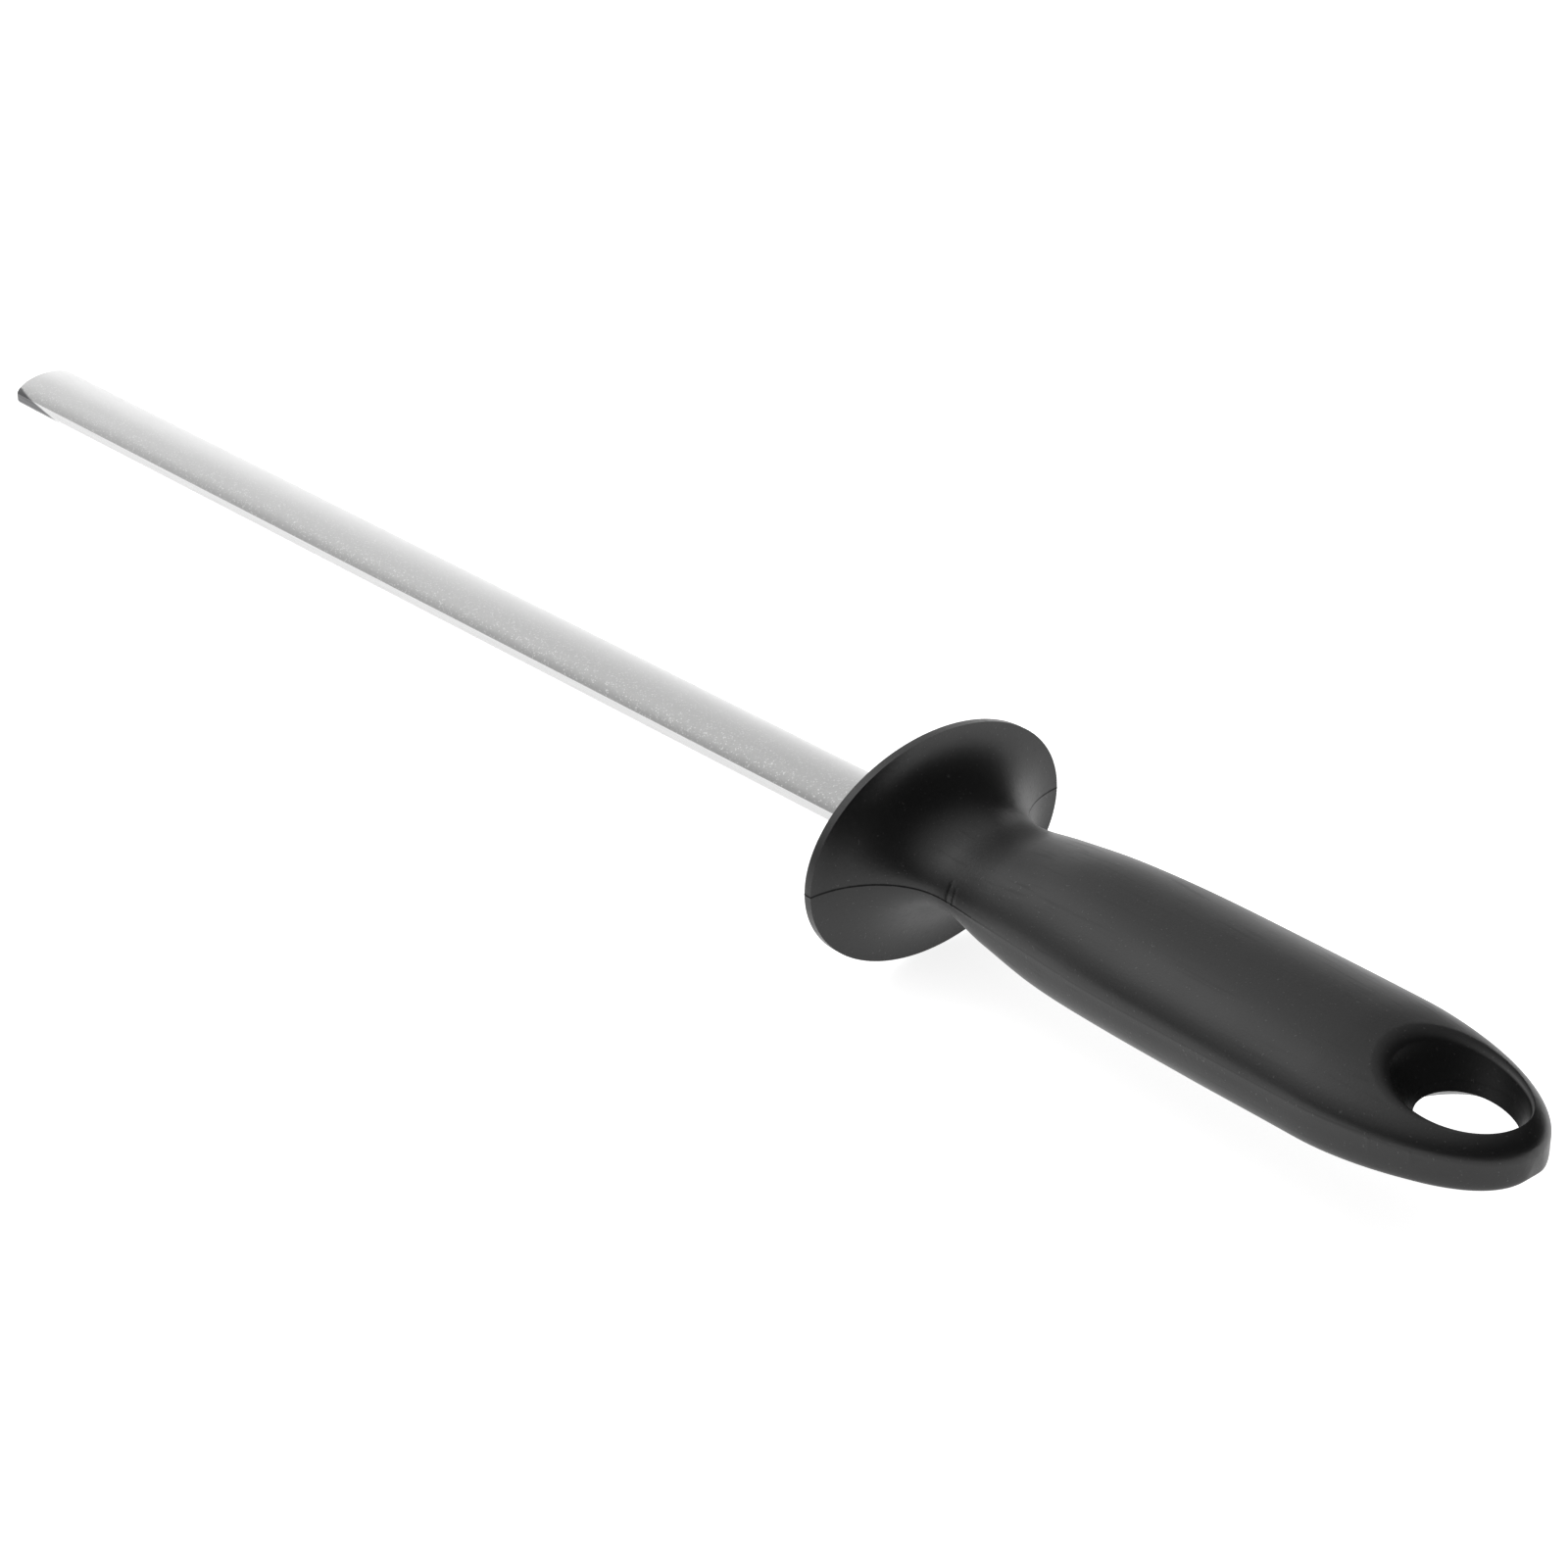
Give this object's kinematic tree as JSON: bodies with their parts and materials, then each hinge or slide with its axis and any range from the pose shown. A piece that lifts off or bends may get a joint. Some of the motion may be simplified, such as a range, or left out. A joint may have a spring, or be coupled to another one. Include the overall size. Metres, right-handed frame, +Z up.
{
  "type": "knife sharpening steel",
  "caption": "Diamond-coated sharpening steel: a straight oval rod, and a black moulded handle with an oval guard and a hanging hole in its butt.",
  "frame": {"origin": "centre of the object's box in X and Y, on the surface that it lies on", "axes": "+X towards the handle's butt, +Y across the guard's long way, +Z up; the steel lies tipped by 3.5 degrees, on the guard's rim and the rod's tip"},
  "size_m": [0.3356, 0.048, 0.034],
  "materials": {
    "diamond_coated_steel": "light grey satin with fine sparkling grit bonded all over, bare glossy steel at the cut end",
    "black_plastic": "black satin moulded plastic with a faint parting line along both sides"
  },
  "bodies": {
    "root": {"rod": "diamond_coated_steel", "handle_with_guard": "black_plastic"}
  },
  "joints": []
}
